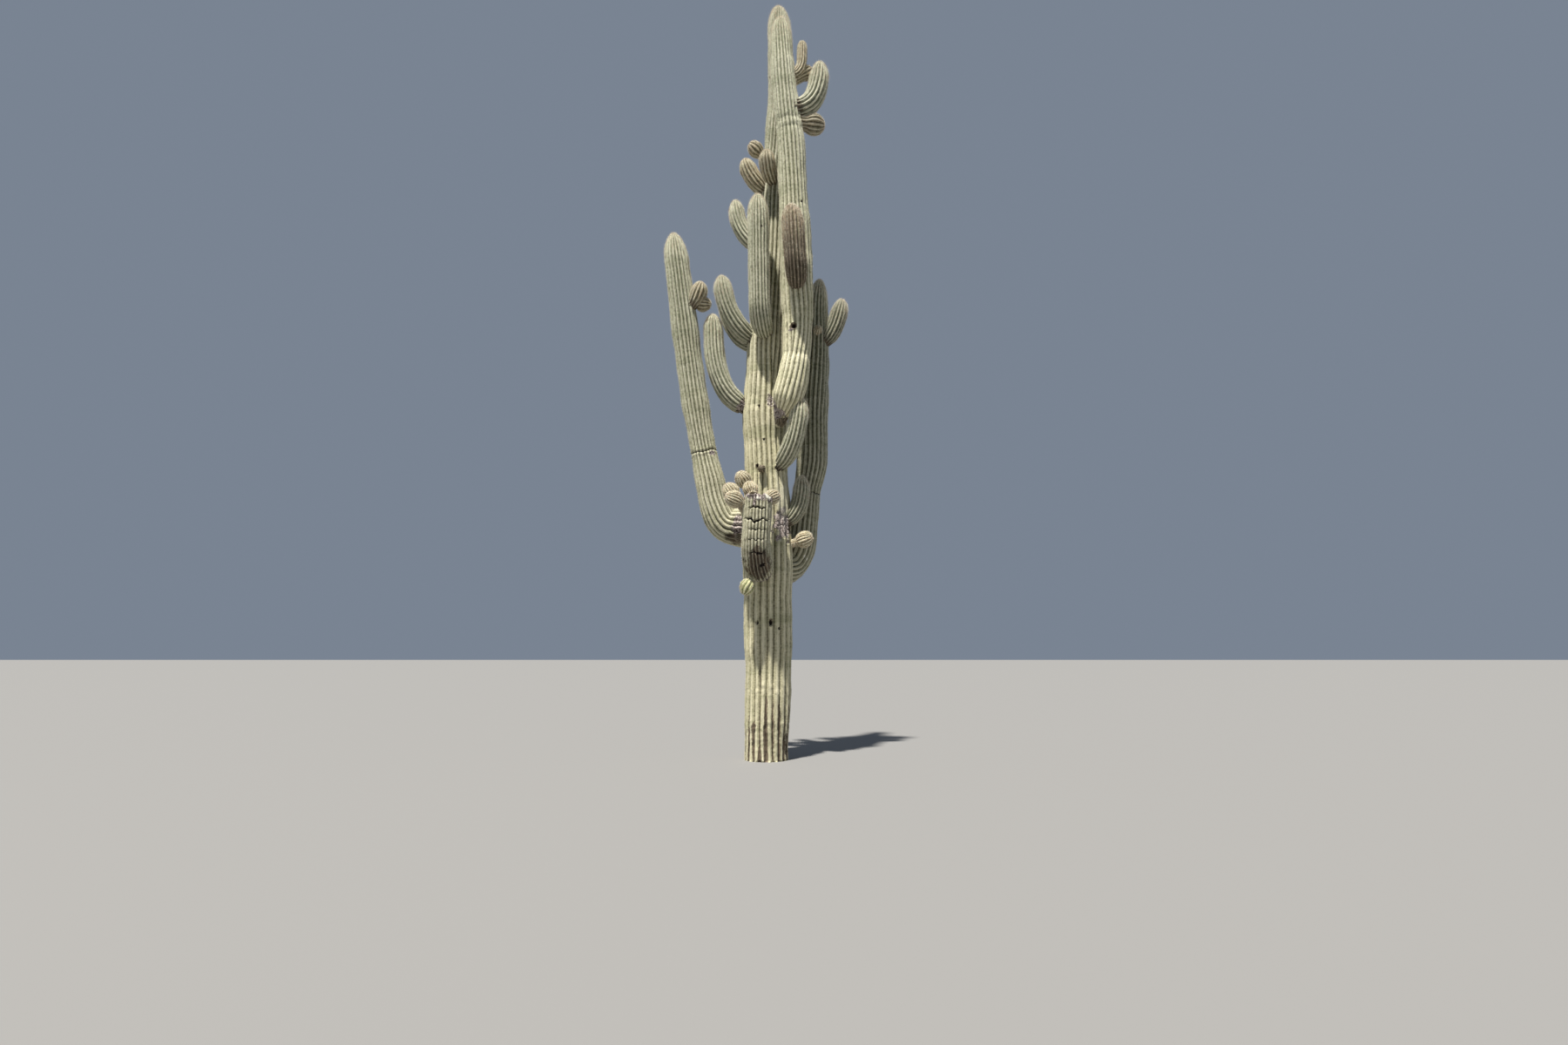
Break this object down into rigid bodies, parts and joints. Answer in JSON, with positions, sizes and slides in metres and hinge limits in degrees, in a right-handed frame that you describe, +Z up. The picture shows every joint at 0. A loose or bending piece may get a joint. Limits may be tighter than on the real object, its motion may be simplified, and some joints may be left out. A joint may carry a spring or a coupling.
{
  "type": "saguaro cactus",
  "caption": "Tall ribbed saguaro cactus with upturned arms crowded round its trunk, a broken arm stub and small round pups, cut flat at ground level.",
  "frame": {"origin": "middle of the flat cut under the trunk, at ground level", "axes": "+Z up along the trunk, +X to the right and -Y towards the viewer as seen from the front"},
  "size_m": [2.2518, 1.3319, 9.245],
  "materials": {
    "skin": "matte",
    "brown_skin": "matte",
    "scarred_skin": "matte",
    "young_skin": "matte"
  },
  "bodies": {
    "root": {"trunk": "skin", "arm_brown": "brown_skin", "arm_centre": "skin", "arm_front": "skin", "arm_front_elbow": "skin", "arm_left": "skin", "arm_left_elbow": "skin", "arm_lower_left": "skin", "arm_lower_right": "skin", "arm_middle_left": "skin", "arm_middle_rear": "skin", "arm_outer_right": "skin", "arm_right": "skin", "arm_right_elbow": "skin", "arm_shaded": "skin", "arm_stub": "scarred_skin", "arm_top_right": "skin", "arm_upper_left": "skin", "pup_crown_high": "young_skin", "pup_crown_left": "young_skin", "pup_crown_mid": "young_skin", "pup_crown_near": "young_skin", "pup_crown_right": "young_skin", "pup_elbow_bud": "young_skin", "pup_front_bud": "young_skin", "pup_high_front": "young_skin", "pup_high_left": "young_skin", "pup_high_small": "young_skin", "pup_left_lobe": "young_skin", "pup_left_twin": "young_skin", "pup_right_ball": "young_skin", "pup_right_small": "young_skin", "pup_stub_foot": "young_skin", "pup_top_behind": "young_skin", "pup_top_shaded": "young_skin", "pup_top_upright": "young_skin"}
  },
  "joints": []
}
